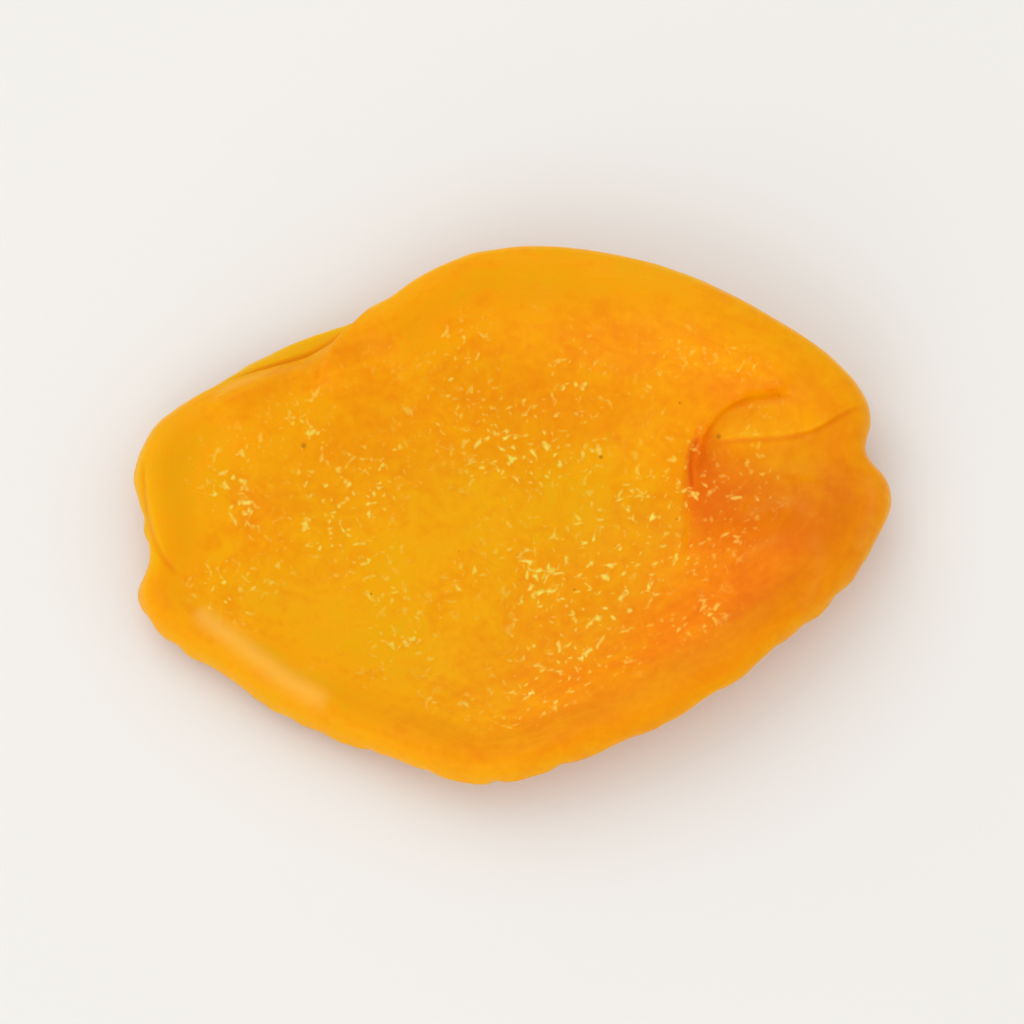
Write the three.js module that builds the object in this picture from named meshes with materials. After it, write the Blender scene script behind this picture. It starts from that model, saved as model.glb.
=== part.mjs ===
// A dried apricot half, pitted, lying on its skin with the cut face up.
//
// The half has dried into a shallow dish: a thin floor where the stone was, and a rim
// that has curled in over the cut face as a soft, thick lip. Near the right end the lip
// has folded twice over itself, and at the upper left it laps over a thin flange.
// The whole fruit is one closed surface. Every point of it is placed by two numbers: how
// far it lies along the outline, and how far it lies from the middle towards the outline.
//
// Millimetres, +Z up. The origin is under the middle of the fruit, on the surface it
// rests on. +X runs along the fruit towards the folded end.

import * as THREE from "three";
import { mergeVertices } from "three/addons/utils/BufferGeometryUtils.js";
import { ImprovedNoise } from "three/addons/math/ImprovedNoise.js";

// Driving dimensions
const FLOOR_THICKNESS = 1.8; // flesh left under the stone
const ROUND_SHARE = 0.3; // share of the lip's width that rounds over to the outline
const BELLY_POWER = 2.8; // how late the skin side turns up from the surface
const FLANK_POWER = 0.62; // how steep the skin side ends at the outline; 1 is not at all
const REST_DEPTH = 0.13; // how much of the belly is pressed flat where it rests
const SKIN_RIPPLE = 0.28; // height of the puckers in the skin
const FACE_RIPPLE = 0.11; // height of the soft lumps on the cut face
const LIP_RIPPLE = 0.16; // height of the puckers across the lip

// Mesh: a box is wrapped round the fruit, its top and bottom over the middle and its
// sides over the lip
const CELLS_ACROSS = 36;
const ROWS_OVER_LIP = 13; // from the top of the box to the outline
const ROWS_UNDER_LIP = 7; // from the outline to the bottom of the box
const CORE_SHARE = 0.55; // the box's top covers this share of the way to the outline

// The outline, anticlockwise from the right end. Each station gives a point of the outline
// seen from above, how high that point lies, and how wide and how thick the lip is there.
const STATIONS = [
  // x, y, height, lip width, lip thickness
  [22.0, 0.2, 3.0, 9.5, 2.9],
  [21.95, 2.15, 2.9, 8.0, 2.7],
  [20.65, 3.8, 2.7, 6.0, 2.5], // nick in the right end
  [21.0, 5.6, 2.9, 6.0, 2.7],
  [20.9, 6.6, 3.1, 6.2, 2.8],
  [19.9, 8.3, 3.5, 6.4, 3.0],
  [17.8, 10.1, 3.9, 6.8, 3.2],
  [15.1, 11.8, 4.2, 7.4, 3.4],
  [12.1, 13.5, 4.3, 8.0, 3.5],
  [9.0, 14.9, 4.1, 8.4, 3.5],
  [5.5, 15.9, 3.8, 8.6, 3.4],
  [1.4, 16.4, 3.6, 8.4, 3.3],
  [-2.2, 15.9, 3.7, 7.6, 3.3],
  [-5.4, 14.4, 3.8, 6.6, 3.2],
  [-7.8, 12.7, 3.4, 5.6, 2.9],
  [-9.3, 12.0, 2.5, 5.8, 2.2], // the upper lip laps over the flange here
  [-12.4, 11.1, 2.1, 6.6, 2.0],
  [-16.6, 8.8, 2.0, 7.0, 2.3],
  [-19.6, 6.8, 2.1, 6.7, 2.5],
  [-20.8, 5.8, 2.2, 6.4, 2.5],
  [-21.4, 4.8, 2.3, 6.2, 2.5],
  [-22.0, 2.7, 2.5, 5.6, 2.4],
  [-21.8, 1.6, 2.6, 5.2, 2.3],
  [-21.3, -0.6, 2.5, 4.8, 2.2],
  [-21.1, -2.6, 2.3, 4.4, 2.1],
  [-21.6, -4.6, 1.9, 4.6, 2.2],
  [-21.2, -5.8, 1.8, 4.8, 2.3],
  [-20.1, -7.0, 1.6, 5.2, 2.5],
  [-17.2, -8.9, 1.4, 5.8, 2.8],
  [-13.8, -11.3, 1.4, 5.8, 2.8],
  [-9.5, -13.3, 1.7, 5.4, 2.6],
  [-4.8, -15.2, 2.2, 5.2, 2.5],
  [-1.2, -16.0, 2.7, 5.4, 2.5],
  [3.2, -15.0, 3.4, 5.8, 2.6],
  [8.0, -13.1, 4.0, 6.8, 2.8],
  [12.3, -10.8, 4.4, 8.0, 3.0],
  [15.9, -7.8, 4.3, 9.4, 3.2],
  [19.1, -4.8, 3.9, 10.2, 3.3],
  [20.9, -2.2, 3.4, 10.2, 3.2],
];

// Soft swellings of the upper face: middle, half widths and height.
const SWELLINGS = [
  { x: 15.4, y: -1.4, along: 4.6, across: 4.0, rise: 0.6 }, // thick lobe below the folds
  { x: -14.8, y: 5.4, along: 4.6, across: 2.4, rise: 0.4 }, // left lip, doubled over
  { x: 1.0, y: -1.5, along: 7.0, across: 4.0, rise: 0.25 }, // floor, pressed up from below
];

// Folds in the upper face: the sheet on the left of the path, as it is walked, lies over
// the sheet on its right. The rise fades away from the path over the reach, and the upper
// sheet's edge hangs over by the overhang.
const FOLDS = [
  {
    // inner edge of the upper lip at the folded end
    path: [
      [10.2, 1.2],
      [10.3, 3.4],
      [11.2, 5.0],
      [12.6, 6.5],
      [14.6, 7.3],
      [17.4, 6.9],
    ],
    rise: 0.75,
    reach: 3.4,
    overhang: 0.35,
  },
  {
    // lower edge of the tongue that lies under that lip
    path: [
      [11.4, 4.5],
      [14.0, 4.1],
      [16.4, 4.3],
      [18.2, 5.4],
      [19.8, 7.0],
    ],
    rise: 0.6,
    reach: 2.2,
    overhang: 0.3,
  },
  {
    // end of the upper lip, lapping down to the left
    path: [
      [-8.3, 12.6],
      [-9.6, 10.8],
      [-10.8, 9.4],
      [-11.2, 7.2],
    ],
    rise: 0.8,
    reach: 3.4,
    overhang: 0.25,
  },
  {
    // edge of the left lip, with the thin flange outside it
    path: [
      [-9.2, 10.8],
      [-11.2, 9.2],
      [-13.6, 8.3],
      [-15.9, 7.3],
      [-18.4, 6.2],
    ],
    rise: 0.8,
    reach: 3.0,
    overhang: 0.2,
  },
];

const FOLD_HALF_WIDTH = 0.55; // half the width of a fold's steep side
const FOLD_END_FADE = 0.22; // share of a fold's length over which each end dies out
const PATH_SAMPLES = 40;
const OUTLINE_SAMPLES = 480;

const NOISE_CENTRE = new THREE.Vector2(37, -29); // well outside the fruit

const noise = new ImprovedNoise();

// Soft, seedless unevenness between about -1 and 1, with lumps of the given size. The
// pattern is turned by its layer, so that no two layers line up.
function lumps(x, y, size, layer) {
  const p = new THREE.Vector2(x, y).rotateAround(NOISE_CENTRE, layer);
  return 1.6 * noise.noise(p.x / size, p.y / size, layer);
}

function smoothstep(low, high, x) {
  return THREE.MathUtils.smoothstep(x, low, high);
}

// A closed curve through three numbers of each station.
function roundStations(pick) {
  const points = STATIONS.map((station) => new THREE.Vector3(...pick(station)));
  return new THREE.CatmullRomCurve3(points, true, "centripetal");
}

const outline = roundStations(([x, y]) => [x, y, 0]);
const lipShape = roundStations(([, , height, width, thickness]) => [height, width, thickness]);
outline.arcLengthDivisions = 800;
const outlineLength = outline.getLength();
const outlinePoints = outline.getSpacedPoints(OUTLINE_SAMPLES);

// What the stations say at share u of the outline's length.
function stationAt(u) {
  const t = outline.getUtoTmapping(u % 1);
  const [height, lipWidth, lipThickness] = lipShape.getPoint(t).toArray();
  return { edge: outline.getPoint(t), height, lipWidth, lipThickness };
}

// How far a point seen from above lies inside the outline.
function insideBy(x, y) {
  const point = new THREE.Vector3(x, y, 0);
  return Math.min(...outlinePoints.map((edge) => edge.distanceTo(point)));
}

// The same folds, each with evenly spaced points along its path.
const foldLines = FOLDS.map((fold) => {
  const curve = new THREE.SplineCurve(fold.path.map(([x, y]) => new THREE.Vector2(x, y)));
  return { ...fold, points: curve.getSpacedPoints(PATH_SAMPLES) };
});

// How far a point lies to the left of a fold's path, how strong the fold is there, and
// which way its overhanging edge leans.
function nearFold(fold, x, y) {
  let best = { distance: Infinity };
  for (let i = 0; i < PATH_SAMPLES; i++) {
    const a = fold.points[i];
    const b = fold.points[i + 1];
    const along = new THREE.Vector2().subVectors(b, a);
    const length = along.length();
    along.divideScalar(length);
    const from = new THREE.Vector2(x - a.x, y - a.y);
    const reached = THREE.MathUtils.clamp(from.dot(along), 0, length);
    const off = from.sub(along.clone().multiplyScalar(reached));
    const distance = off.length();
    if (distance < best.distance) {
      const left = along.x * off.y - along.y * off.x;
      const share = (i + reached / length) / PATH_SAMPLES;
      best = { distance, left, share, along };
    }
  }
  const signed = Math.sign(best.left) * best.distance;
  const strength =
    smoothstep(0, FOLD_END_FADE, best.share) * (1 - smoothstep(1 - FOLD_END_FADE, 1, best.share));
  const overSide = new THREE.Vector2(-best.along.y, best.along.x);
  return { signed, strength, overSide };
}

// The folds' own lift and sideways lean at a point of the upper face.
function foldShift(x, y) {
  const shift = new THREE.Vector3();
  for (const fold of foldLines) {
    const { signed, strength, overSide } = nearFold(fold, x, y);
    const step = smoothstep(-FOLD_HALF_WIDTH, FOLD_HALF_WIDTH, signed);
    const beyond = Math.max(signed - FOLD_HALF_WIDTH, 0);
    const fade = Math.exp(-((beyond / fold.reach) ** 2));
    shift.z += fold.rise * strength * step * fade;
    const lean = Math.exp(-(((signed - FOLD_HALF_WIDTH) / 0.8) ** 2));
    shift.x -= overSide.x * fold.overhang * strength * lean;
    shift.y -= overSide.y * fold.overhang * strength * lean;
  }
  return shift;
}

// Height of the skin side. It is flat and low in the middle and turns up to the outline.
function skinHeight(x, y, share, height) {
  const bow = 0.3 * lumps(x + 5, y, 13, 0.4) * (1 - share ** 4);
  return height * (1 - (1 - share ** BELLY_POWER) ** FLANK_POWER) + bow;
}

function swelling(x, y) {
  const each = SWELLINGS.map(
    (s) => s.rise * Math.exp(-(((x - s.x) / s.along) ** 2) - ((y - s.y) / s.across) ** 2),
  );
  return each.reduce((sum, rise) => sum + rise, 0);
}

// Thickness of the flesh: thinnest where the stone lay, then a soft foot up to the lip.
function fleshThickness(x, y, inside, lipWidth, lipThickness) {
  const hollow = Math.exp(-(((x - 3) / 9) ** 2 + ((y - 0.5) / 5.5) ** 2));
  const floor = FLOOR_THICKNESS * (1.1 - 0.25 * hollow);
  const lip = 1 - smoothstep(ROUND_SHARE * lipWidth, lipWidth, inside);
  return THREE.MathUtils.lerp(floor, lipThickness, lip) + swelling(x, y);
}

// A point of the fruit's surface. share is how far out it lies, 0 in the middle and 1 on
// the outline; side is 1 on the cut face and -1 on the skin.
function surfacePoint(u, share, side) {
  const { edge, height, lipWidth, lipThickness } = stationAt(u);
  const x = edge.x * share;
  const y = edge.y * share;
  const inside = share < 1 ? insideBy(x, y) : 0;
  const skin = skinHeight(x, y, share, height);
  const rounding = Math.min(inside / (ROUND_SHARE * lipWidth), 1);
  const rounded = Math.sqrt(1 - (1 - rounding) ** 2);
  const nearLip = Math.exp(-((inside / (0.55 * lipWidth)) ** 2)); // puckers die out inwards
  const round = u * outlineLength;
  if (side < 0) {
    const puckers = 1.3 * noise.noise(round / 2.3, inside / 7, 5.7) * nearLip;
    const rough = SKIN_RIPPLE * (puckers + 0.5 * lumps(x, y, 3.2, 11.9));
    return new THREE.Vector3(x, y, skin - rough * rounded);
  }
  const flesh = fleshThickness(x, y, inside, lipWidth, lipThickness);
  const puckers = 1.6 * LIP_RIPPLE * noise.noise(round / 2.9, inside / 5, 4.2) * nearLip;
  const rough = FACE_RIPPLE * (lumps(x, y, 4.1, 7.3) + 0.5 * lumps(x, y, 2.2, 3.1));
  const shift = foldShift(x, y).multiplyScalar(rounded);
  const z = skin + (flesh + rough + puckers) * rounded + shift.z;
  return new THREE.Vector3(x + shift.x, y + shift.y, z);
}

// Where a point of the box's skin goes on the fruit.
function wrap({ x, y, z }) {
  const out = Math.max(Math.abs(x), Math.abs(y));
  let turn = 0; // how far round the box, in quarters
  if (out > 0) {
    if (x === out && y > -out) turn = 0.5 + y / out / 2;
    else if (y === out) turn = 1.5 - x / out / 2;
    else if (x === -out) turn = 2.5 - y / out / 2;
    else turn = 3.5 + x / out / 2;
  }
  // the first quarter is centred on the right end, where the outline starts
  const u = (turn / 4 - 0.125 + 1) % 1;
  const rows = ROWS_OVER_LIP + ROWS_UNDER_LIP;
  const row = Math.round(((1 - z) / 2) * rows); // 0 at the top of the box
  if (row === 0 || row === rows) return surfacePoint(u, out * CORE_SHARE, z);
  const over = row < ROWS_OVER_LIP;
  const t = over ? row / ROWS_OVER_LIP : (rows - row) / ROWS_UNDER_LIP;
  // rows crowd together where the lip rounds over to the outline
  const share = THREE.MathUtils.lerp(CORE_SHARE, 1, 0.62 * t + 0.38 * Math.sin((Math.PI / 2) * t));
  return surfacePoint(u, share, over ? 1 : -1);
}

// The whole fruit, resting on the plane z = 0 with its box centred on the origin.
function fruitGeometry() {
  const rows = ROWS_OVER_LIP + ROWS_UNDER_LIP;
  const box = new THREE.BoxGeometry(2, 2, 2, CELLS_ACROSS, CELLS_ACROSS, rows);
  box.deleteAttribute("normal");
  box.deleteAttribute("uv");
  const skin = mergeVertices(box);
  const position = skin.getAttribute("position");
  for (let i = 0; i < position.count; i++) {
    const p = wrap(new THREE.Vector3().fromBufferAttribute(position, i));
    position.setXYZ(i, p.x, p.y, p.z);
  }
  skin.computeBoundingBox();
  const { min, max } = skin.boundingBox;
  skin.translate(-(min.x + max.x) / 2, -(min.y + max.y) / 2, -min.z - REST_DEPTH);
  for (let i = 0; i < position.count; i++) position.setZ(i, Math.max(position.getZ(i), 0));
  skin.computeVertexNormals();
  return skin;
}

function driedApricotHalf() {
  const flesh = new THREE.MeshStandardMaterial({
    color: 0xf09408,
    roughness: 0.42,
    metalness: 0,
  });
  const half = new THREE.Mesh(fruitGeometry(), flesh);
  half.name = "dried_apricot_half";
  return half;
}

const apricot = new THREE.Group();
apricot.add(driedApricotHalf());

export default apricot;
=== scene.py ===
"""Looks of a dried apricot half: its finish, the surface under it, the light and the camera.

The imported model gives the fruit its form. A merged and subdivided copy stands for it here and
gets the fine relief of dried fruit: silky wrinkles along the curled-in rim, a fibrous cut face
and tight creases at the folds. What the finish needs to know, such as how thick the flesh is
at each point, is measured on the mesh and kept there as attributes.

Lengths are in metres, and MM turns millimetres into metres. +Z is up, and +X runs along the
fruit towards its folded end.
"""

import logging
import math
from dataclasses import dataclass
from enum import Enum

import bpy
import numpy as np
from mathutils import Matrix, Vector, noise
from mathutils.bvhtree import BVHTree


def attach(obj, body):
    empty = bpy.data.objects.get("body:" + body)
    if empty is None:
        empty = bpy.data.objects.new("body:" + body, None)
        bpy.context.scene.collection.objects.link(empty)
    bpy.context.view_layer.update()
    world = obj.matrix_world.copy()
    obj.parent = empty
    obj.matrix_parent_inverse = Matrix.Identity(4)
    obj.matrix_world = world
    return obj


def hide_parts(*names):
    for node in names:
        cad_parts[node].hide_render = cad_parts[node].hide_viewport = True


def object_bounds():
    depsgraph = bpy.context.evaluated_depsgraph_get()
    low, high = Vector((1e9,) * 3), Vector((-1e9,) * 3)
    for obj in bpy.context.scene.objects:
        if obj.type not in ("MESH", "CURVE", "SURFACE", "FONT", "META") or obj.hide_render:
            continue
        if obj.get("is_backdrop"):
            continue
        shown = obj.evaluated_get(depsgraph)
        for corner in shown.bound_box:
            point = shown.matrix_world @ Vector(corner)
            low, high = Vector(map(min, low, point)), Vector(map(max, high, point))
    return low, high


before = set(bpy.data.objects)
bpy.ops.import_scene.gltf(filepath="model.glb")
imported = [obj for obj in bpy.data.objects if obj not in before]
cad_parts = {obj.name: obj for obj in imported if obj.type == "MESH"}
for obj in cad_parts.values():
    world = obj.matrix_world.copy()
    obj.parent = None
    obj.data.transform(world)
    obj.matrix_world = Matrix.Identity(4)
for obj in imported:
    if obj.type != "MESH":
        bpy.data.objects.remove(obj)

log = logging.getLogger("dried_apricot")

MM = 0.001


class Layer(Enum):
    """What the fruit's mesh holds at each point, by the name of the attribute."""

    RIM = "rim_place"  # along the rim and in from it, bent into a ring, in metres
    PULP = "pulp"  # 1 on the bare cut face, 0 on skin
    DEPTH = "flesh_depth_and_painted_light"  # 0 where light passes easily, 1 where the flesh is deep orange; some patches add painted shade and a painted highlight
    CREASE = "crease_shade"  # painted shade: 1 at the bottom of a fold, and red in hollows and the skin's creases below
    RIDGE_AND_HIGHLIGHT = "ridge"  # 1 on top of a pale ridge, which is a painted highlight on the lower left lip


@dataclass(frozen=True)
class Patch:
    """A soft oval area of the fruit, seen from above, where a value goes up or down.

    x and y give its middle, and along and across its half widths, in millimetres. turn is the
    angle from +X to its long side, in degrees, and amount is the change at its middle.
    """

    x: float
    y: float
    along: float
    across: float
    turn: float
    amount: float

    def at(self, points: np.ndarray) -> np.ndarray:
        """The change at each point.

        Args:
            points: one row of x, y and z in metres for each point.

        Returns:
            The change there, largest at the patch's middle.
        """
        dx = points[:, 0] / MM - self.x
        dy = points[:, 1] / MM - self.y
        cos, sin = math.cos(math.radians(self.turn)), math.sin(math.radians(self.turn))
        u = (dx * cos + dy * sin) / self.along
        v = (dy * cos - dx * sin) / self.across
        return self.amount * np.exp(-(u**2) - v**2)


@dataclass(frozen=True)
class Stroke:
    """A line on the fruit's upper face. path is a list of its points, in millimetres."""

    path: tuple[tuple[float, float], ...]

    def rounded_path(self) -> np.ndarray:
        """The path with its corners cut twice, in metres."""
        path = np.array(self.path) * MM
        for _ in range(2):
            near = 0.75 * path[:-1] + 0.25 * path[1:]
            far = 0.25 * path[:-1] + 0.75 * path[1:]
            cut = np.stack([near, far], axis=1).reshape(-1, 2)
            path = np.concatenate([path[:1], cut, path[-1:]])
        return path

    def reading(self, points: np.ndarray) -> tuple[np.ndarray, np.ndarray]:
        """How points lie to the line.

        Args:
            points: one row of x, y and z in metres for each point.

        Returns:
            Each point's distance to the left of the line in millimetres, negative on its right,
            and how strong the line is beside it, from 0 at its ends to 1.
        """
        path = self.rounded_path()
        nearest = np.full(len(points), np.inf)
        signed = np.zeros(len(points))
        strength = np.zeros(len(points))
        parts = len(path) - 1
        for index in range(parts):
            start, step = path[index], path[index + 1] - path[index]
            off = points[:, :2] - start
            share = np.clip(off @ step / (step @ step), 0, 1)
            gap = off - share[:, None] * step
            distance = np.hypot(gap[:, 0], gap[:, 1]) / MM
            closer = distance < nearest
            side = np.sign(step[0] * off[:, 1] - step[1] * off[:, 0])
            along = (index + share) / parts
            faded = smoothstep(0, 0.2, along) * (1 - smoothstep(0.8, 1, along))
            nearest = np.where(closer, distance, nearest)
            signed = np.where(closer, side * distance, signed)
            strength = np.where(closer, faded, strength)
        return signed, strength


@dataclass(frozen=True)
class Fold(Stroke):
    """A line where one layer of the fruit lies over another, with the upper one on its left.

    rise is how much the upper layer stands up beside the line and groove how deep the line
    itself is cut, in metres. tint is how much deeper in colour the upper layer is, and reach how
    far rise and tint go, in millimetres. shade is how strong the painted shade along the line
    is, in red, from 0 to 1.

    The rest is measured across the line, in millimetres, positive towards the upper layer. step
    is where the surface starts and stops rising, cut is the middle and half width of the groove,
    and red those of the painted shade along the line.
    """

    rise: float
    groove: float
    tint: float
    reach: float
    shade: float
    step: tuple[float, float] = (-0.08, 0.22)
    cut: tuple[float, float] = (-0.08, 0.18)
    red: tuple[float, float] = (-0.05, 0.15)

    def at(self, points: np.ndarray) -> np.ndarray:
        """What the fold does at each point.

        Args:
            points: one row of x, y and z in metres for each point.

        Returns:
            Four rows: how much the surface rises and how deep it is cut, in millimetres, how
            much deeper its colour is, and how strong the painted shade along the line is.
        """
        left, strength = self.reading(points)
        over = smoothstep(*self.step, left) * np.exp(-((np.maximum(left, 0) / self.reach) ** 2))
        cut, red = (
            np.exp(-(((left - middle) / width) ** 2)) for middle, width in (self.cut, self.red)
        )
        rows = (
            self.rise / MM * over,
            self.groove / MM * cut,
            self.tint * over,
            self.shade * red,
        )
        return np.stack(rows) * strength


@dataclass(frozen=True)
class Ridge(Stroke):
    """A soft ridge whose top is paler than the flesh beside it. On the lower left lip that pale
    top is a painted highlight, elsewhere it is paler flesh.

    width is its half width in millimetres and share how strong it is, from 0 to 1.
    """

    width: float
    share: float

    def at(self, points: np.ndarray) -> np.ndarray:
        """How strong the ridge is at each row of points."""
        left, strength = self.reading(points)
        return self.share * strength * np.exp(-((left / self.width) ** 2))


# Where the flesh is deeper in colour than its thickness tells, and where it is lighter; some
# add painted shade, and one a painted highlight, as marked below
FLESH_DEPTH_AND_PAINTED_LIGHT_PATCHES = (
    Patch(17.0, -1.0, 6.0, 4.0, 0, 0.20),  # thick lobe below the folds
    Patch(14.8, -6.0, 5.5, 3.0, 35, 0.20),  # and its front
    Patch(10.9, 3.0, 0.7, 1.1, 0, 0.26),  # red corner where the folds start: deeper flesh, and painted shade in the crease
    Patch(11.6, 1.0, 1.6, 2.4, 0, 0.20),
    Patch(1.0, 7.4, 9.5, 2.0, -16, 0.10),  # foot of the upper lip: painted shade in its hollow, and deeper flesh
    Patch(8.5, -7.5, 6.0, 3.0, 32, 0.14),  # right side of the lower lip
    Patch(9.0, -12.6, 5.0, 1.2, 24, 0.12),
    Patch(3.0, -6.0, 4.5, 2.6, 0, 0.06),
    Patch(-0.5, -10.5, 6.5, 2.4, 0, 0.10),  # front of the floor
    Patch(3.0, 0.5, 7.5, 3.6, 0, -0.03),  # thin floor where the stone lay
    Patch(-7.5, -8.0, 7.0, 3.0, -28, -0.14),  # lower left of the floor
    Patch(-12.9, 10.8, 5.0, 1.1, 25, -0.70),  # thin flange beside the left lip
    Patch(15.4, 5.6, 2.8, 1.0, 8, -0.10),  # tongue between the folds
    Patch(-14.8, -8.3, 4.6, 0.9, -38, -0.20),  # painted highlight along the top of the lower left lip
    Patch(-20.2, 0.8, 2.8, 5.0, 5, -0.38),  # thin left end
    Patch(2.5, 13.6, 7.0, 2.0, 0, -0.32),  # back of the upper lip
    Patch(-4.6, 11.2, 4.0, 2.4, 35, -0.24),  # left part of the upper lip
    Patch(-14.5, 5.2, 5.0, 2.6, 22, -0.26),  # left lip
    Patch(-8.6, 10.4, 2.0, 1.8, 0, -0.20),
    Patch(-16.0, 1.0, 2.0, 2.2, 0, 0.10),
    Patch(20.4, 2.0, 1.6, 4.5, 0, 0.12),  # rim of the folded end
    Patch(17.6, 6.0, 2.6, 1.2, 0, 0.06),
    Patch(16.6, 8.2, 2.4, 1.3, -42, -0.14),
    Patch(-16.4, 7.9, 2.2, 1.0, 25, -0.28),  # back of the left lip
    Patch(-6.5, 4.6, 5.5, 3.4, 0, 0.12),  # floor beside the end of the upper lip
    Patch(17.4, 1.4, 3.4, 1.4, 0, 0.10),  # lobe's upper side
    Patch(19.8, -2.8, 1.6, 2.4, 0, 0.12),  # lobe's rim
    Patch(11.4, -6.4, 4.2, 3.0, 30, 0.08),
    Patch(-3.0, -9.6, 2.6, 3.6, 0, 0.09),
    Patch(11.4, 11.0, 4.5, 2.2, -32, -0.18),  # right side of the upper lip
    Patch(-10.0, -11.2, 4.5, 1.6, -28, -0.22),  # front of the lower left lip
)

# Where skin covers the upper face further in than the rim's own width
SKIN_PATCHES = (
    Patch(3.0, 13.6, 13.0, 3.0, -8, 1.0),  # upper lip
    Patch(-15.5, 6.2, 4.6, 2.4, 22, 0.9),  # left lip
    Patch(17.5, 2.0, 4.6, 6.5, 0, 0.9),  # folded end
)

# Where one layer lies over another: the two ends of the fruit, and the lobe on its right.
# Each fold's line gets painted shade along it.
FOLDS = (
    Fold(  # edge of the thick lobe over the floor
        path=((11.3, 5.6), (10.5, 4.4), (10.15, 3.2), (10.1, 1.5), (10.1, -0.6), (9.8, -2.8)),
        rise=0.14 * MM,
        groove=0.03 * MM,
        tint=0.27,
        reach=7.5,
        shade=0.25,
    ),
    Fold(  # red corner at the lobe's upper edge, with strong painted shade along it
        path=((10.9, 4.6), (10.55, 4.0), (10.38, 3.3), (10.38, 2.6), (10.5, 1.6)),
        rise=0.08 * MM,
        groove=0.14 * MM,
        tint=0.12,
        reach=0.9,
        shade=0.9,
    ),
    Fold(  # inner edge of the upper lip at the folded end
        path=(
            (10.9, 4.2), (11.2, 4.75), (11.6, 5.3), (12.1, 5.9), (13.0, 6.45), (14.4, 6.75),
            (16.2, 6.6),
        ),
        rise=0.10 * MM,
        groove=0.06 * MM,
        tint=0.04,
        reach=2.0,
        shade=0.27,
    ),
    Fold(  # lower edge of the tongue under that lip
        path=(
            (11.6, 4.4), (12.8, 4.4), (14.5, 4.4), (16.3, 4.4), (17.4, 4.55), (18.4, 5.0),
            (19.2, 5.5), (20.9, 6.2),
        ),
        rise=0.12 * MM,
        groove=0.06 * MM,
        tint=-0.10,
        reach=1.2,
        shade=0.27,
    ),
    Fold(  # end of the upper lip, over the left lip
        path=((-8.4, 13.2), (-9.0, 11.6), (-10.3, 10.2), (-11.0, 8.9), (-11.4, 7.6)),
        rise=0.12 * MM,
        groove=0.06 * MM,
        tint=0.08,
        reach=2.4,
        shade=0.25,
    ),
    Fold(  # edge of the left lip beside the flange
        path=(
            (-7.6, 13.0), (-8.7, 11.7), (-9.4, 11.0), (-10.3, 10.4), (-11.2, 9.8),
            (-13.0, 9.2), (-14.8, 8.6), (-16.8, 7.9), (-19.0, 6.9),
        ),
        rise=0.18 * MM,
        groove=0.14 * MM,
        tint=0.10,
        reach=2.2,
        shade=0.5,
    ),
    Fold(  # small crease at the left end, behind its turned-out rim
        path=((-21.3, 3.0), (-21.2, 1.0), (-20.9, -0.8), (-20.3, -2.6), (-19.2, -3.8)),
        rise=0.05 * MM,
        groove=0.10 * MM,
        tint=0.06,
        reach=1.2,
        shade=0.35,
    ),
)

# Pale streaks: a painted highlight where the light catches the rounded lower left lip, swirls
# of paler flesh on the lobe, and a pale band along the rim of the folded end
PALE_RIDGES_AND_HIGHLIGHT = (
    Ridge(  # top of the lower left lip: a painted highlight
        path=((-18.2, -5.8), (-17.2, -6.8), (-14.6, -8.9), (-12.2, -10.7), (-10.4, -11.7)),
        width=0.55,
        share=0.42,
    ),
    Ridge(  # swirls on the thick lobe
        path=((13.0, -0.8), (14.5, 0.2), (15.7, 0.5), (16.7, 0.0), (17.4, -1.1)),
        width=0.40,
        share=0.07,
    ),
    Ridge(path=((17.2, -1.9), (17.7, -3.4), (17.3, -5.2), (16.4, -6.8)), width=0.35, share=0.07),
    Ridge(path=((13.2, -3.4), (14.4, -2.4), (15.8, -2.2)), width=0.30, share=0.06),
    Ridge(  # rim of the folded end
        path=((20.4, 1.8), (20.8, 0.4), (20.5, -1.2), (19.7, -3.0)),
        width=0.30,
        share=0.10,
    ),
)


def smoothstep(low: float, high: float, x: np.ndarray) -> np.ndarray:
    """0 below low, 1 above high, and an even curve in between."""
    t = np.clip((x - low) / (high - low), 0, 1)
    return t * t * (3 - 2 * t)


def noise_at(places: np.ndarray) -> np.ndarray:
    """Soft noise between about -1 and 1 at each row of places, with lumps of size 1."""
    return np.array([noise.noise(place) for place in places.tolist()])


def ridges_at(places: np.ndarray, narrowness: float = 2.2) -> np.ndarray:
    """Noise from 0 to 1 whose ridges are narrow, as wrinkles in a shrunken skin are."""
    return 1 - np.clip(np.abs(noise_at(places)) * narrowness, 0, 1)


def linear(hex_colour: str) -> tuple[float, float, float, float]:
    """A colour as Blender's shaders take it, by the sRGB standard's own curve.

    Args:
        hex_colour: an sRGB colour, such as "#F4A000".

    Returns:
        Its linear red, green, blue and alpha.
    """
    channels = [int(hex_colour[i : i + 2], 16) / 255 for i in (1, 3, 5)]
    lit = [c / 12.92 if c <= 0.04045 else ((c + 0.055) / 1.055) ** 2.4 for c in channels]
    return (*lit, 1.0)


def select_only(piece: bpy.types.Object) -> None:
    """Makes piece the one selected and active object."""
    bpy.ops.object.select_all(action="DESELECT")
    piece.select_set(True)
    bpy.context.view_layer.objects.active = piece


def add_node(
    tree: bpy.types.NodeTree,
    kind: str,
    inputs: dict[str | int, object] | None = None,
    **settings: object,
) -> bpy.types.Node:
    """Adds a node, sets it up and links it.

    Args:
        tree: the material's node tree.
        kind: the node's type, such as "ShaderNodeTexNoise".
        inputs: socket name or number to a value, or to the output socket to link there.
        settings: the node's own properties.

    Returns:
        The new node.
    """
    node = tree.nodes.new(kind)
    for name, value in settings.items():
        setattr(node, name, value)
    for name, value in (inputs or {}).items():
        if isinstance(value, bpy.types.NodeSocket):
            tree.links.new(value, node.inputs[name])
        else:
            node.inputs[name].default_value = value
    return node


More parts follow.
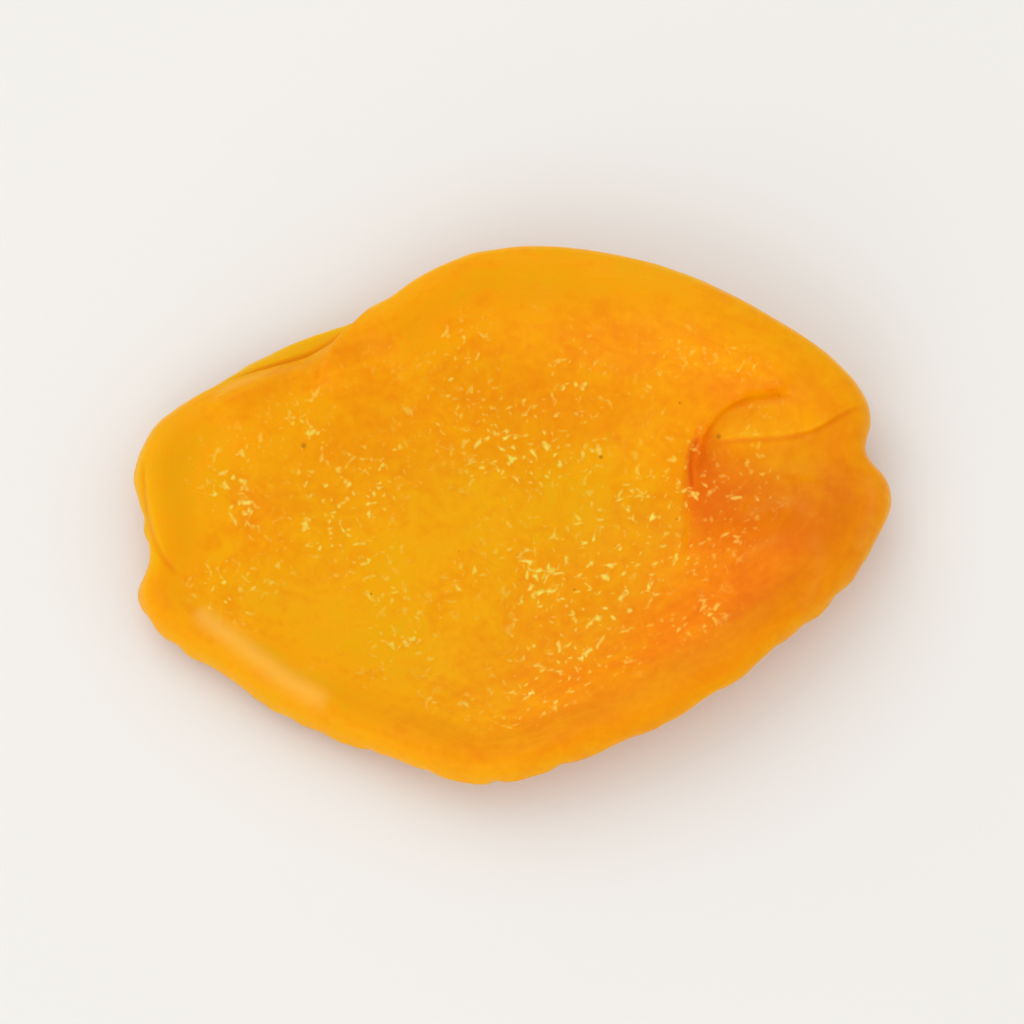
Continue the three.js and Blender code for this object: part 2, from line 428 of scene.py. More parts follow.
@dataclass(frozen=True)
class Rim:
    """Where points lie as seen from the fruit's outline.

    inside is how far each point lies in from the outline, and ring its place along the outline
    bent into a ring, with its distance from the outline as the third number: negative on the
    underside. A pattern on ring follows the rim and has no seam.
    """

    inside: np.ndarray
    ring: np.ndarray

    @classmethod
    def measured(cls, points: np.ndarray, up: np.ndarray, directions: int = 240) -> "Rim":
        """Finds the outline seen from above and measures each point from it.

        Args:
            points: one row of x, y and z for each point.
            up: the z of the surface's normal at each point.
            directions: how many directions from the middle the outline is looked for in.

        Returns:
            The points' places, in metres.
        """
        angle = np.arctan2(points[:, 1], points[:, 0])
        radius = np.hypot(points[:, 0], points[:, 1])
        full = 2 * math.pi
        bins = ((angle + math.pi) / full * directions).astype(int) % directions
        edge = np.zeros(directions)
        np.maximum.at(edge, bins, radius)
        for _ in range(2):  # a step to each side, so that no direction sticks out
            edge = (np.roll(edge, 1) + 2 * edge + np.roll(edge, -1)) / 4
        centres = (np.arange(directions) + 0.5) / directions * full - math.pi
        edge_at = np.interp(angle, centres, edge, period=full)
        corners = np.stack([edge * np.cos(centres), edge * np.sin(centres)], axis=1)
        steps = np.linalg.norm(np.roll(corners, -1, axis=0) - corners, axis=1)
        length = steps.sum()
        run = np.concatenate([[0], np.cumsum(steps)])
        turn = np.interp((angle - centres[0]) % full, np.append(centres - centres[0], full), run)
        turn *= full / length
        inside = np.maximum(edge_at - radius, 0)
        ring_radius = length / full
        depth = np.where(up < 0, -inside, inside)
        ring = np.stack([ring_radius * np.cos(turn), ring_radius * np.sin(turn), depth], axis=1)
        return cls(inside, ring)


@dataclass(frozen=True)
class MeshReading:
    """The finished mesh's numbers, for formulas that work on all its points at once."""

    points: np.ndarray
    normals: np.ndarray
    edges: np.ndarray
    tree: BVHTree

    @classmethod
    def of(cls, piece: bpy.types.Object) -> "MeshReading":
        """Reads a piece's mesh."""
        mesh = piece.data
        points = np.empty(len(mesh.vertices) * 3)
        mesh.vertices.foreach_get("co", points)
        normals = np.empty(len(mesh.vertices) * 3, dtype=np.float32)
        mesh.vertex_normals.foreach_get("vector", normals)
        edges = np.empty(len(mesh.edges) * 2, dtype=int)
        mesh.edges.foreach_get("vertices", edges)
        tree = BVHTree.FromPolygons(
            points.reshape(-1, 3).tolist(), [list(face.vertices) for face in mesh.polygons]
        )
        return cls(points.reshape(-1, 3), normals.reshape(-1, 3), edges.reshape(-1, 2), tree)

    def softened(self, values: np.ndarray, rounds: int) -> np.ndarray:
        """Values at the points, each evened out with its neighbours' that many times."""
        a, b = self.edges[:, 0], self.edges[:, 1]
        around = np.bincount(np.concatenate([a, b]), minlength=len(values)) + 1.0
        out = values.astype(float)
        for _ in range(rounds):
            total = out.copy()
            np.add.at(total, a, out[b])
            np.add.at(total, b, out[a])
            out = total / (around if out.ndim == 1 else around[:, None])
        return out

    def hollowness(self, rounds: int) -> np.ndarray:
        """How deep each point lies in a hollow of the surface, in metres."""
        evened = self.softened(self.points, rounds)
        return np.einsum("ij,ij->i", evened - self.points, self.normals)

    def thickness(self, most: float) -> np.ndarray:
        """How thick the flesh is under or over each point, in metres, up to a largest value."""
        found = np.zeros(len(self.points))
        start_depth = 0.02 * MM
        for index, (point, normal) in enumerate(zip(self.points, self.normals)):
            inwards = Vector((0, 0, -1 if normal[2] > 0 else 1))
            hit = self.tree.ray_cast(Vector(point) + inwards * start_depth, inwards, most)
            if hit[3] is not None:
                found[index] = hit[3] + start_depth
        return found


@dataclass(frozen=True)
class Mottle:
    """One size of cloudiness in the flesh.

    size is the width of its clouds in metres, amount how far they shift the colour's depth and
    swirl how much they curl. squeeze is how much each axis is shrunk before the noise is read,
    which draws the clouds out. One that follows the rim fades out away from it.
    """

    size: float
    amount: float
    swirl: float = 0.0
    squeeze: tuple[float, float, float] = (1.0, 1.0, 1.0)
    along_rim: bool = False


@dataclass(frozen=True)
class DriedApricotFlesh:
    """Sun-dried apricot: sugary flesh, cut and pitted, with its own skin at the back.

    It is translucent, so light soaks in and comes out saturated: golden where the flesh is thin
    and deep orange where it is thick. The skin is satin with fine wrinkles, the cut face is
    sticky and shows short pale fibres that catch the light, with their glints painted into its
    colour.
    """

    name: str = "sun_dried_apricot_flesh"
    # Colours of the flesh itself, from the thinnest to the deepest, and where each stands
    flesh: tuple[tuple[float, str], ...] = (
        (0.0, "#F4B700"),
        (0.33, "#FFAE00"),
        (0.66, "#F79400"),
        (1.0, "#EC7400"),
    )
    # What lies over that colour, and how far it covers it
    # painted shade, red, in the hollows and along the fold lines
    crease_shade_colour: str = "#E05A00"
    crease_shade_cover: float = 0.7
    skin: str = "#C89000"
    skin_cover: float = 0.32
    # pale ridges, and the painted highlight on the lower left lip
    ridge: str = "#FFC860"
    # painted glints of the raised fibres
    fibre_glint: str = "#FFE264"
    fibre_glint_cover: float = 0.95
    speck: str = "#9A5A10"
    speck_cover: float = 0.65
    # How the surface takes light
    roughness: float = 0.34
    fibre_roughness: float = 0.2
    ior: float = 1.4
    specular_level: float = 0.1  # low, as the dried surface hardly shines
    light_soaked: float = 0.85  # share of the light that goes into the flesh
    light_reach: float = 2.4 * MM  # how far red light travels in it
    light_spread: tuple[float, float, float] = (1.0, 0.42, 0.06)  # of red, green and blue
    # Sizes of its patterns
    fibre_width: float = 0.43 * MM  # spacing of the pale fibres across
    fibre_stretch: float = 1.5  # how much longer than wide they are
    fibre_turns: tuple[float, ...] = (12, 67, 128)  # the directions they lie in, in degrees
    fibre_tops: tuple[float, float] = (0.63, 0.81)  # range of the noise that shows as fibres
    group_width: float = 4.2 * MM  # of the loose groups that the fibres lie in
    group_edges: tuple[float, float] = (0.38, 0.64)  # range of the noise where a group fades in
    wrinkle_width: float = 0.55 * MM  # spacing of the finest lines in the skin
    wrinkle_squeeze: tuple[float, float, float] = (0.22, 0.22, 1.0)  # long along the rim
    pulp_grain: float = 0.45 * MM
    surface_bump: float = 0.55
    fibre_bump: float = 0.3
    bump_height: float = 0.12 * MM
    speck_spacing: float = 6.0 * MM
    speck_radii: tuple[float, float] = (0.001, 0.034)  # least and most, in spacings
    speck_least: float = 0.35  # share of the places that get a speck too small to see
    speck_core: float = 0.3  # share of a speck's radius that is dark all over
    rim_fade: tuple[float, float] = (4.0 * MM, 10.0 * MM)  # from the outline inwards
    mottles: tuple[Mottle, ...] = (
        Mottle(size=5.5 * MM, amount=0.08),
        Mottle(size=1.8 * MM, amount=0.08, swirl=1.4),
        Mottle(size=0.5 * MM, amount=0.04),
        Mottle(size=1.1 * MM, amount=0.09, swirl=0.8, squeeze=(0.22, 0.22, 1.0), along_rim=True),
    )

    def material(self) -> bpy.types.Material:
        """Makes the material."""
        material = bpy.data.materials.new(self.name)
        material.use_nodes = True
        tree = material.node_tree
        tree.nodes.clear()
        layers = {
            layer: add_node(tree, "ShaderNodeAttribute", attribute_name=layer.value)
            for layer in Layer
        }
        place = add_node(tree, "ShaderNodeTexCoord").outputs["Object"]
        pulp = layers[Layer.PULP].outputs["Fac"]
        # Mask of the raised fibres: it paints their glints, lowers roughness and bumps them
        fibre_glints = self.fibre_glints(tree, place, pulp)
        rough = add_node(
            tree,
            "ShaderNodeMapRange",
            {"Value": fibre_glints, "To Min": self.roughness, "To Max": self.fibre_roughness},
        )
        shader = add_node(
            tree,
            "ShaderNodeBsdfPrincipled",
            {
                "Base Color": self.colour(tree, place, layers, fibre_glints),
                "Roughness": rough.outputs[0],
                "Normal": self.relief(tree, place, layers, fibre_glints),
                "IOR": self.ior,
                "Specular IOR Level": self.specular_level,
                "Subsurface Weight": self.light_soaked,
                "Subsurface Radius": self.light_spread,
                "Subsurface Scale": self.light_reach,
            },
        )
        add_node(tree, "ShaderNodeOutputMaterial", {"Surface": shader.outputs[0]})
        return material

    def colour(
        self,
        tree: bpy.types.NodeTree,
        place: bpy.types.NodeSocket,
        layers: dict[Layer, bpy.types.Node],
        fibre_glints: bpy.types.NodeSocket,
    ) -> bpy.types.NodeSocket:
        """The colour at each point: the flesh's own, with what lies over it.

        Args:
            tree: the material's node tree.
            place: the point's place on the fruit.
            layers: the attribute node of each layer of the mesh.
            fibre_glints: how much a fibre and its painted glint show there, from 0 to 1.

        Returns:
            The colour.
        """
        pulp = layers[Layer.PULP].outputs["Fac"]
        covered = add_node(tree, "ShaderNodeMath", {0: 1.0, 1: pulp}, operation="SUBTRACT")
        coats = (
            # painted shade in the hollows and along the fold lines
            (layers[Layer.CREASE].outputs["Fac"], self.crease_shade_cover, self.crease_shade_colour),
            (covered.outputs[0], self.skin_cover, self.skin),
            # pale ridges, and a painted highlight on the lower left lip
            (layers[Layer.RIDGE_AND_HIGHLIGHT].outputs["Fac"], 1.0, self.ridge),
            # painted glints of the raised fibres
            (fibre_glints, self.fibre_glint_cover, self.fibre_glint),
            (self.specks(tree, place, pulp), self.speck_cover, self.speck),
        )
        colour = self.flesh_colour(tree, place, layers)
        for where, cover, over in coats:
            share = add_node(tree, "ShaderNodeMath", {0: where, 1: cover}, operation="MULTIPLY")
            mix = add_node(
                tree,
                "ShaderNodeMix",
                {0: share.outputs[0], 6: colour, 7: linear(over)},
                data_type="RGBA",
            )
            colour = mix.outputs[2]
        return colour

    def flesh_colour(
        self,
        tree: bpy.types.NodeTree,
        place: bpy.types.NodeSocket,
        layers: dict[Layer, bpy.types.Node],
    ) -> bpy.types.NodeSocket:
        """The flesh's own colour, from the depth of flesh, mottled."""
        depth = layers[Layer.DEPTH].outputs["Fac"]
        ring = layers[Layer.RIM].outputs["Vector"]
        parts = add_node(tree, "ShaderNodeSeparateXYZ", {0: ring})
        inside = add_node(tree, "ShaderNodeMath", {0: parts.outputs["Z"]}, operation="ABSOLUTE")
        near_rim = add_node(
            tree,
            "ShaderNodeMapRange",
            {
                "Value": inside.outputs[0],
                "From Min": self.rim_fade[0],
                "From Max": self.rim_fade[1],
                "To Min": 1.0,
                "To Max": 0.0,
            },
        )
        for mottle in self.mottles:
            source = ring if mottle.along_rim else place
            drawn = add_node(
                tree, "ShaderNodeMapping", {"Vector": source, "Scale": mottle.squeeze}
            )
            clouds = add_node(
                tree,
                "ShaderNodeTexNoise",
                {
                    "Vector": drawn.outputs[0],
                    "Scale": 1 / mottle.size,
                    "Detail": 2.0,
                    "Distortion": mottle.swirl,
                },
            )
            change = add_node(
                tree,
                "ShaderNodeMapRange",
                {
                    "Value": clouds.outputs[0],
                    "From Min": 0.3,  # the noise hardly leaves this range
                    "From Max": 0.7,
                    "To Min": -mottle.amount,
                    "To Max": mottle.amount,
                },
            )
            share = near_rim.outputs[0] if mottle.along_rim else 1.0
            total = add_node(
                tree,
                "ShaderNodeMath",
                {0: change.outputs[0], 1: share, 2: depth},
                operation="MULTIPLY_ADD",
            )
            depth = total.outputs[0]
        ramp = add_node(tree, "ShaderNodeValToRGB", {"Fac": depth})
        stops = ramp.color_ramp.elements
        for stop, (position, colour) in zip(list(stops), (self.flesh[0], self.flesh[-1])):
            stop.position = position
            stop.color = linear(colour)
        for position, colour in self.flesh[1:-1]:
            stops.new(position).color = linear(colour)
        return ramp.outputs[0]

    def fibre_glints(
        self, tree: bpy.types.NodeTree, place: bpy.types.NodeSocket, pulp: bpy.types.NodeSocket
    ) -> bpy.types.NodeSocket:
        """Short raised fibres of the cut flesh, lying in three directions, in loose groups.

        Their mask gives them painted glints, as well as lower roughness and a bump.
        """
        shown: float | bpy.types.NodeSocket = 0.0
        for turn in self.fibre_turns:
            turned = add_node(
                tree,
                "ShaderNodeMapping",
                {
                    "Vector": place,
                    "Rotation": (0, 0, math.radians(turn)),
                    "Scale": (self.fibre_stretch, 1, 1),
                    "Location": (turn * MM, 0, 0),
                },
                vector_type="TEXTURE",
            )
            strands = add_node(
                tree,
                "ShaderNodeTexNoise",
                {
                    "Vector": turned.outputs[0],
                    "Scale": 1 / self.fibre_width,
                    "Detail": 1.0,
                    "Roughness": 0.35,
                },
            )
            tops = add_node(
                tree,
                "ShaderNodeMapRange",
                {
                    "Value": strands.outputs[0],
                    "From Min": self.fibre_tops[0],
                    "From Max": self.fibre_tops[1],
                },
                interpolation_type="SMOOTHSTEP",
            )
            joined = add_node(
                tree, "ShaderNodeMath", {0: shown, 1: tops.outputs[0]}, operation="MAXIMUM"
            )
            shown = joined.outputs[0]
        groups = add_node(
            tree,
            "ShaderNodeTexNoise",
            {"Vector": place, "Scale": 1 / self.group_width, "Detail": 1.0},
        )
        grouped = add_node(
            tree,
            "ShaderNodeMapRange",
            {
                "Value": groups.outputs[0],
                "From Min": self.group_edges[0],
                "From Max": self.group_edges[1],
            },
        )
        for share in (grouped.outputs[0], pulp):
            kept = add_node(tree, "ShaderNodeMath", {0: shown, 1: share}, operation="MULTIPLY")
            shown = kept.outputs[0]
        return shown

    def specks(
        self, tree: bpy.types.NodeTree, place: bpy.types.NodeSocket, pulp: bpy.types.NodeSocket
    ) -> bpy.types.NodeSocket:
        """A few tiny dark specks in the pulp, up to 0.4 mm across with their soft edge."""
        cells = add_node(
            tree,
            "ShaderNodeTexVoronoi",
            {"Vector": place, "Scale": 1 / self.speck_spacing},
            voronoi_dimensions="2D",
        )
        drawn = add_node(tree, "ShaderNodeSeparateColor", {0: cells.outputs["Color"]})
        least, most = self.speck_radii
        radius = add_node(
            tree,
            "ShaderNodeMapRange",
            {
                "Value": drawn.outputs[0],
                "From Min": self.speck_least,
                "To Min": least,
                "To Max": most,
            },
        )
        core = add_node(
            tree,
            "ShaderNodeMath",
            {0: radius.outputs[0], 1: self.speck_core},
            operation="MULTIPLY",
        )
        dots = add_node(
            tree,
            "ShaderNodeMapRange",
            {
                "Value": cells.outputs["Distance"],
                "From Min": core.outputs[0],
                "From Max": radius.outputs[0],
                "To Min": 1.0,
                "To Max": 0.0,
            },
        )
        shown = add_node(
            tree, "ShaderNodeMath", {0: dots.outputs[0], 1: pulp}, operation="MULTIPLY"
        )
        return shown.outputs[0]

    def relief(
        self,
        tree: bpy.types.NodeTree,
        place: bpy.types.NodeSocket,
        layers: dict[Layer, bpy.types.Node],
        fibre_glints: bpy.types.NodeSocket,
    ) -> bpy.types.NodeSocket:
        """Relief too fine for the mesh: lines along the rim on skin, grain and raised fibres on
        pulp.
        """
        along_rim = add_node(
            tree,
            "ShaderNodeMapping",
            {"Vector": layers[Layer.RIM].outputs["Vector"], "Scale": self.wrinkle_squeeze},
        )
        lines = add_node(
            tree,
            "ShaderNodeTexNoise",
            {
                "Vector": along_rim.outputs[0],
                "Scale": 1 / self.wrinkle_width,
                "Detail": 2.0,
                "Distortion": 0.6,
            },
        )
        grain = add_node(
            tree,
            "ShaderNodeTexNoise",
            {"Vector": place, "Scale": 1 / self.pulp_grain, "Detail": 2.0, "Roughness": 0.6},
        )
        pulp = layers[Layer.PULP].outputs["Fac"]
        surface = add_node(
            tree,
            "ShaderNodeMix",
            {0: pulp, 2: lines.outputs[0], 3: grain.outputs[0]},
            data_type="FLOAT",
        )
        fine = add_node(
            tree,
            "ShaderNodeBump",
            {
                "Height": surface.outputs[0],
                "Strength": self.surface_bump,
                "Distance": self.bump_height,
            },
        )
        raised = add_node(
            tree,
            "ShaderNodeBump",
            {
                "Height": fibre_glints,
                "Normal": fine.outputs[0],
                "Strength": self.fibre_bump,
                "Distance": self.bump_height,
            },
        )
        return raised.outputs[0]


@dataclass
class DriedHalf:
    """The dried apricot half, lying on its skin with the cut face up.

    Heights and depths say how far a relief moves the surface, in metres. Sizes of patterns say
    how far apart its lumps or lines are, in millimetres. A share above says how much of a relief
    of the skin is left on the upper face.
    """

    node: str = "dried_apricot_half"
    name: str = "dried_half"
    subdivisions: int = 2
    fine_band: float = 0.40 * MM  # to each side of a fold's line, where faces are cut finer
    fine_strength: float = 0.02  # of a fold, from where that happens
    fine_up: float = 0.2  # least z of the normal of such a face
    turn_down: tuple[float, float] = (0.25, -0.25)  # z of the normal, from the face to skin
    rest_fade: tuple[float, float] = (1.2, 0.1)  # heights where the skin's relief dies out
    skin_edge: tuple[float, float] = (2.0, 4.6)  # in from the outline, where pulp takes over
    rim_fade: tuple[float, float] = (5.0, 11.0)  # and where the rim's relief fades out
    wrinkle_height: float = 0.14 * MM
    wrinkle_size: tuple[float, float, float] = (4.5, 4.5, 1.1)  # long along the rim
    wrinkles_above: float = 0.3
    gather_height: float = 0.22 * MM
    gather_size: tuple[float, float, float] = (1.7, 1.7, 6.0)  # long across the rim
    gathers_above: float = 0.25
    network_depth: float = 0.20 * MM
    network_size: tuple[float, float, float] = (2.3, 2.9, 2.6)
    network_bend: float = 1.4  # millimetres that its lines are bent aside
    network_bend_size: float = 3.1
    pulp_height: float = 0.08 * MM
    pulp_size: float = 0.8
    crease_depth: float = 0.12 * MM
    crease_hollows: tuple[float, float] = (0.05, 0.2)  # how deep hollows with a crease are
    crease_rounds: int = 16  # of evening out, which say how wide they are
    ridge_height: float = 0.12 * MM
    thickest: float = 8.0 * MM  # more than the flesh is anywhere
    thickness_rounds: int = 12  # of evening out
    colour_turn: tuple[float, float] = (-0.2, 0.3)  # z of the normal, from skin to the face
    usual_thickness: float = 2.4  # millimetres
    usual_depth: float = 0.46  # of the colour, where the flesh is that thick
    depth_per_mm: float = 0.09  # and its change for each millimetre more
    underside_depth: float = 0.12  # how much deeper in colour the skin below is
    shade_rounds: int = 10
    hollow_shade: float = 0.7  # painted shade: how red a hollow above gets, from 0 to 1
    hollow_depths: tuple[float, float] = (0.05, 0.25)  # where that starts and is full
    network_shade: float = 0.9  # and the same painted shade for a crease in the skin below
    network_depths: tuple[float, float] = (0.01, 0.06)
    finish: DriedApricotFlesh = DriedApricotFlesh()

    def build(self) -> bpy.types.Object:
        """Builds the fruit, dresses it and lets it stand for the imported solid."""
        piece = self.merged_copy()
        self.subdivide(piece)
        self.refine_folds(piece)
        self.raise_relief(piece)
        self.keep_layers(piece)
        piece.data.materials.append(self.finish.material())
        piece.data.shade_smooth()
        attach(piece, "root")
        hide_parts(self.node)
        return piece

    def merged_copy(self) -> bpy.types.Object:
        """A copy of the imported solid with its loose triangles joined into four-sided faces."""
        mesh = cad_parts[self.node].data.copy()
        mesh.materials.clear()
        mesh.name = self.name
        piece = bpy.data.objects.new(self.name, mesh)
        bpy.context.scene.collection.objects.link(piece)
        select_only(piece)
        bpy.ops.object.mode_set(mode="EDIT")
        bpy.ops.mesh.select_all(action="SELECT")
        bpy.ops.mesh.remove_doubles(threshold=0.001 * MM)
        widest = math.radians(60)
        bpy.ops.mesh.tris_convert_to_quads(face_threshold=widest, shape_threshold=widest)
        bpy.ops.object.mode_set(mode="OBJECT")
        return piece

    def subdivide(self, piece: bpy.types.Object) -> None:
        """Smooths the solid's flat faces into one soft surface."""
        subdivision = piece.modifiers.new("subdivision", "SUBSURF")
        subdivision.levels = self.subdivisions
        subdivision.render_levels = self.subdivisions
        bpy.ops.object.modifier_apply(modifier=subdivision.name)

    def refine_folds(self, piece: bpy.types.Object) -> None:
        """Cuts the faces along the folds finer, so that the folds come out crisp."""
        select_only(piece)
        bpy.ops.object.mode_set(mode="EDIT")
        bpy.ops.mesh.select_mode(type="FACE")
        bpy.ops.mesh.select_all(action="DESELECT")
        bpy.ops.object.mode_set(mode="OBJECT")
        faces = piece.data.polygons
        centres = np.empty(len(faces) * 3, dtype=np.float32)
        faces.foreach_get("center", centres)
        normals = np.empty(len(faces) * 3, dtype=np.float32)
        faces.foreach_get("normal", normals)
        centres, normals = centres.reshape(-1, 3), normals.reshape(-1, 3)
        near = np.zeros(len(faces), dtype=bool)
        for fold in FOLDS:
            left, strength = fold.reading(centres)
            near |= (np.abs(left) < self.fine_band / MM) & (strength > self.fine_strength)
        near &= normals[:, 2] > self.fine_up
        faces.foreach_set("select", near)
        bpy.ops.object.mode_set(mode="EDIT")
        bpy.ops.mesh.subdivide(number_cuts=1)
        bpy.ops.object.mode_set(mode="OBJECT")

    def raise_relief(self, piece: bpy.types.Object) -> None:
        """Gives the skin its wrinkles, the pulp its lumps and the folds their creases."""
        reading = MeshReading.of(piece)
        points = reading.points
        up = reading.normals[:, 2]
        rim = Rim.measured(points, up)
        ring = rim.ring / MM
        pulp = self.pulp_share(reading, rim)
        below = smoothstep(*self.turn_down, up)
        above = 1 - below
        # Relief that stands out fades where the fruit rests, so that it doesn't stand on it
        lifted = 1 - below * smoothstep(*self.rest_fade, points[:, 2] / MM)
        rim_skin = (1 - pulp) * lifted * (1 - smoothstep(*self.rim_fade, rim.inside / MM))
        wrinkles = ridges_at(ring / self.wrinkle_size) * rim_skin
        wrinkles *= below + self.wrinkles_above * above
        gathers = (0.5 + 0.5 * noise_at(ring / self.gather_size)) * rim_skin
        gathers *= below + self.gathers_above * above
        bend = self.network_bend * noise_at(points / (self.network_bend_size * MM))
        network = ridges_at((points / MM + bend[:, None]) / self.network_size) * below
        lumps = (0.5 + 0.5 * noise_at(points / (self.pulp_size * MM))) * pulp
        hollow = reading.hollowness(self.crease_rounds) / MM
        creases = smoothstep(*self.crease_hollows, hollow) * above
        steps, grooves, _, _ = sum(fold.at(points) for fold in FOLDS) * above
        ridges = sum(ridge.at(points) for ridge in PALE_RIDGES_AND_HIGHLIGHT) * above
        self.raise_where(piece, "wrinkles along the rim", wrinkles, self.wrinkle_height)
        self.raise_where(piece, "gathers across the rim", gathers, self.gather_height)
        self.raise_where(piece, "network of creases in the skin", network, -self.network_depth)
        self.raise_where(piece, "lumps of the pulp", lumps, self.pulp_height)
        self.raise_where(piece, "creases at the folds", creases, -self.crease_depth)
        self.raise_where(piece, "layers at the folds", steps, MM)
        self.raise_where(piece, "lines of the folds", grooves, -MM)
        self.raise_where(piece, "pale ridges", ridges, self.ridge_height)

    def raise_where(
        self, piece: bpy.types.Object, name: str, weights: np.ndarray, height: float
    ) -> None:
        """Raises the surface along its normals.

        Args:
            piece: the mesh object.
            name: what the relief is, for its vertex group and modifier.
            weights: 0 to 1 for each point.
            height: how far the surface is raised where a weight is 1.
        """
        group = piece.vertex_groups.new(name=name)
        for index, weight in enumerate(weights.tolist()):
            group.add([index], weight, "REPLACE")
        displace = piece.modifiers.new(name, "DISPLACE")
        displace.vertex_group = group.name
        displace.mid_level = 0
        displace.strength = height
        bpy.ops.object.modifier_apply(modifier=displace.name)
        piece.vertex_groups.clear()

    def pulp_share(self, reading: MeshReading, rim: Rim) -> np.ndarray:
        """1 where the cut face shows bare pulp, 0 where skin has curled in over it."""
        bare = smoothstep(*self.skin_edge, rim.inside / MM)
        skin = sum(patch.at(reading.points) for patch in SKIN_PATCHES)
        faces_up = smoothstep(0.1, 0.5, reading.normals[:, 2])
        return bare * np.clip(1 - skin, 0, 1) * faces_up

    def keep_layers(self, piece: bpy.types.Object) -> None:
        """Measures what the finish needs on the final mesh and keeps it as attributes."""
        reading = MeshReading.of(piece)
        points = reading.points
        rim = Rim.measured(points, reading.normals[:, 2])
        upper = smoothstep(*self.colour_turn, reading.normals[:, 2])
        thick = reading.thickness(self.thickest) / MM
        thick = reading.softened(thick, self.thickness_rounds)
        _, _, tints, lines = sum(fold.at(points) for fold in FOLDS) * upper
        depth = self.usual_depth + self.depth_per_mm * (thick - self.usual_thickness)
        # Deeper and lighter flesh, with painted shade and a painted highlight among the patches
        depth += sum(patch.at(points) for patch in FLESH_DEPTH_AND_PAINTED_LIGHT_PATCHES) * upper
        depth += tints + self.underside_depth * (1 - upper)
        # Painted shade: red in the hollows, along the fold lines and in the skin's creases below
        hollow = reading.hollowness(self.shade_rounds) / MM
        crease_shade = self.hollow_shade * smoothstep(*self.hollow_depths, hollow) + lines
        crease_shade += self.network_shade * smoothstep(*self.network_depths, hollow) * (1 - upper)
        values = {
            Layer.PULP: self.pulp_share(reading, rim),
            Layer.DEPTH: np.clip(depth, 0, 1),
            Layer.CREASE: np.clip(crease_shade, 0, 1),
            Layer.RIDGE_AND_HIGHLIGHT: sum(ridge.at(points) for ridge in PALE_RIDGES_AND_HIGHLIGHT) * upper,
        }
        for layer, value in values.items():
            attribute = piece.data.attributes.new(layer.value, "FLOAT", "POINT")
            attribute.data.foreach_set("value", value.astype(np.float32))
        ring = piece.data.attributes.new(Layer.RIM.value, "FLOAT_VECTOR", "POINT")
        ring.data.foreach_set("vector", rim.ring.astype(np.float32).ravel())


@dataclass(frozen=True)
class StudioCard:
    """Matt white card, as a photographer lays under small things: pale, without gloss."""

    name: str = "matt_white_card"
    colour: str = "#EFEDE9"
    roughness: float = 0.85

    def material(self) -> bpy.types.Material:
        """Makes the material."""
        material = bpy.data.materials.new(self.name)
        material.use_nodes = True
        tree = material.node_tree
        tree.nodes.clear()
        shader = add_node(
            tree,
            "ShaderNodeBsdfPrincipled",
            {"Base Color": linear(self.colour), "Roughness": self.roughness},
        )
        add_node(tree, "ShaderNodeOutputMaterial", {"Surface": shader.outputs[0]})
        return material


@dataclass(frozen=True)
class SoftBox:
    """A square lamp that shines on the fruit, with its place and side in metres."""

    name: str
    place: tuple[float, float, float]
    side: float
    power: float
    colour: str

    def build(self) -> None:
        """Hangs the lamp at its place, facing the fruit."""
        light = bpy.data.lights.new(self.name, "AREA")
        light.size = self.side
        light.energy = self.power
        light.color = linear(self.colour)[:3]
        lamp = bpy.data.objects.new(self.name, light)
        lamp.location = self.place
        lamp.rotation_mode = "QUATERNION"
        lamp.rotation_quaternion = (-Vector(self.place)).to_track_quat("-Z", "Y")
        bpy.context.scene.collection.objects.link(lamp)


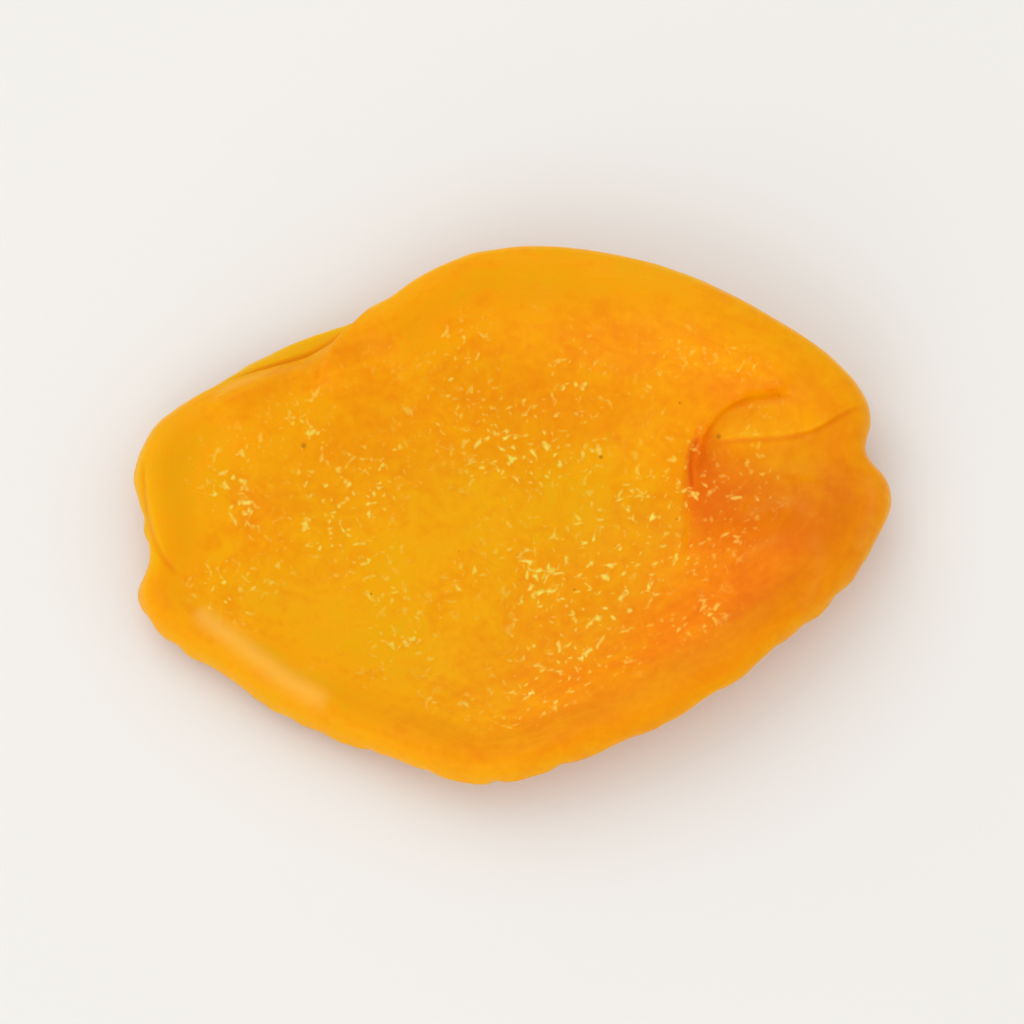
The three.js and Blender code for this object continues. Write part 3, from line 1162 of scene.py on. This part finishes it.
@dataclass(frozen=True)
class Studio:
    """The floor, the light and the camera at the photograph's angle."""

    floor_side: float = 3.0
    floor_gap: float = 0.01 * MM  # under the fruit
    elevation: float = 72.0  # degrees that the camera looks down
    lens: float = 200.0  # millimetres, long, so that the view is nearly parallel
    fruit_share: float = 0.742  # of the picture's width
    card: StudioCard = StudioCard()
    sky: str = "#FFFFFF"
    sky_strength: float = 0.82
    lamps: tuple[SoftBox, ...] = (
        SoftBox(
            name="window light",
            place=(-0.20, 0.30, 0.40),
            side=0.45,
            power=0.55,
            colour="#FFFDF8",
        ),
        SoftBox(
            name="fill from the front",
            place=(-0.20, -0.40, 0.26),
            side=0.40,
            power=0.6,
            colour="#FFFFFF",
        ),
    )

    def build(self) -> bpy.types.Object:
        """Sets up the whole studio and returns its floor."""
        floor = self.lay_floor()
        self.light_sky()
        for lamp in self.lamps:
            lamp.build()
        self.place_camera()
        return floor

    def lay_floor(self) -> bpy.types.Object:
        """Lays a plain pale card just under the fruit."""
        lowest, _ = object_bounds()
        bpy.ops.object.select_all(action="DESELECT")
        place = (0, 0, lowest.z - self.floor_gap)
        bpy.ops.mesh.primitive_plane_add(size=self.floor_side, location=place)
        floor = bpy.context.object
        floor.name = "floor"
        bpy.ops.object.transform_apply(location=True, rotation=True, scale=True)
        floor.data.materials.append(self.card.material())
        floor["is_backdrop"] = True
        return floor

    def light_sky(self) -> None:
        """Lights the scene evenly from all round."""
        world = bpy.data.worlds.new("studio walls")
        world.use_nodes = True
        background = world.node_tree.nodes["Background"]
        background.inputs["Color"].default_value = linear(self.sky)
        background.inputs["Strength"].default_value = self.sky_strength
        bpy.context.scene.world = world

    def place_camera(self) -> None:
        """Puts the camera in front of the fruit and well above it."""
        lowest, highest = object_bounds()
        target = (lowest + highest) / 2
        data = bpy.data.cameras.new("camera")
        data.lens = self.lens
        view_width = (highest.x - lowest.x) / self.fruit_share
        distance = view_width * data.lens / data.sensor_width
        angle = math.radians(self.elevation)
        back = Vector((0, -math.cos(angle), math.sin(angle)))
        camera = bpy.data.objects.new("camera", data)
        camera.location = target + back * distance
        camera.rotation_mode = "QUATERNION"
        camera.rotation_quaternion = (-back).to_track_quat("-Z", "Y")
        bpy.context.scene.collection.objects.link(camera)
        bpy.context.scene.camera = camera
        bpy.context.scene.view_settings.view_transform = "Standard"


def main() -> None:
    """Builds the fruit and the studio round it, and reports each piece."""
    logging.basicConfig(level=logging.INFO, format="%(message)s")
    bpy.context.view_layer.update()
    for part in (DriedHalf(), Studio()):
        piece = part.build()
        log.info("%s: %d faces", piece.name, len(piece.data.polygons))


if __name__ == "__main__":
    main()
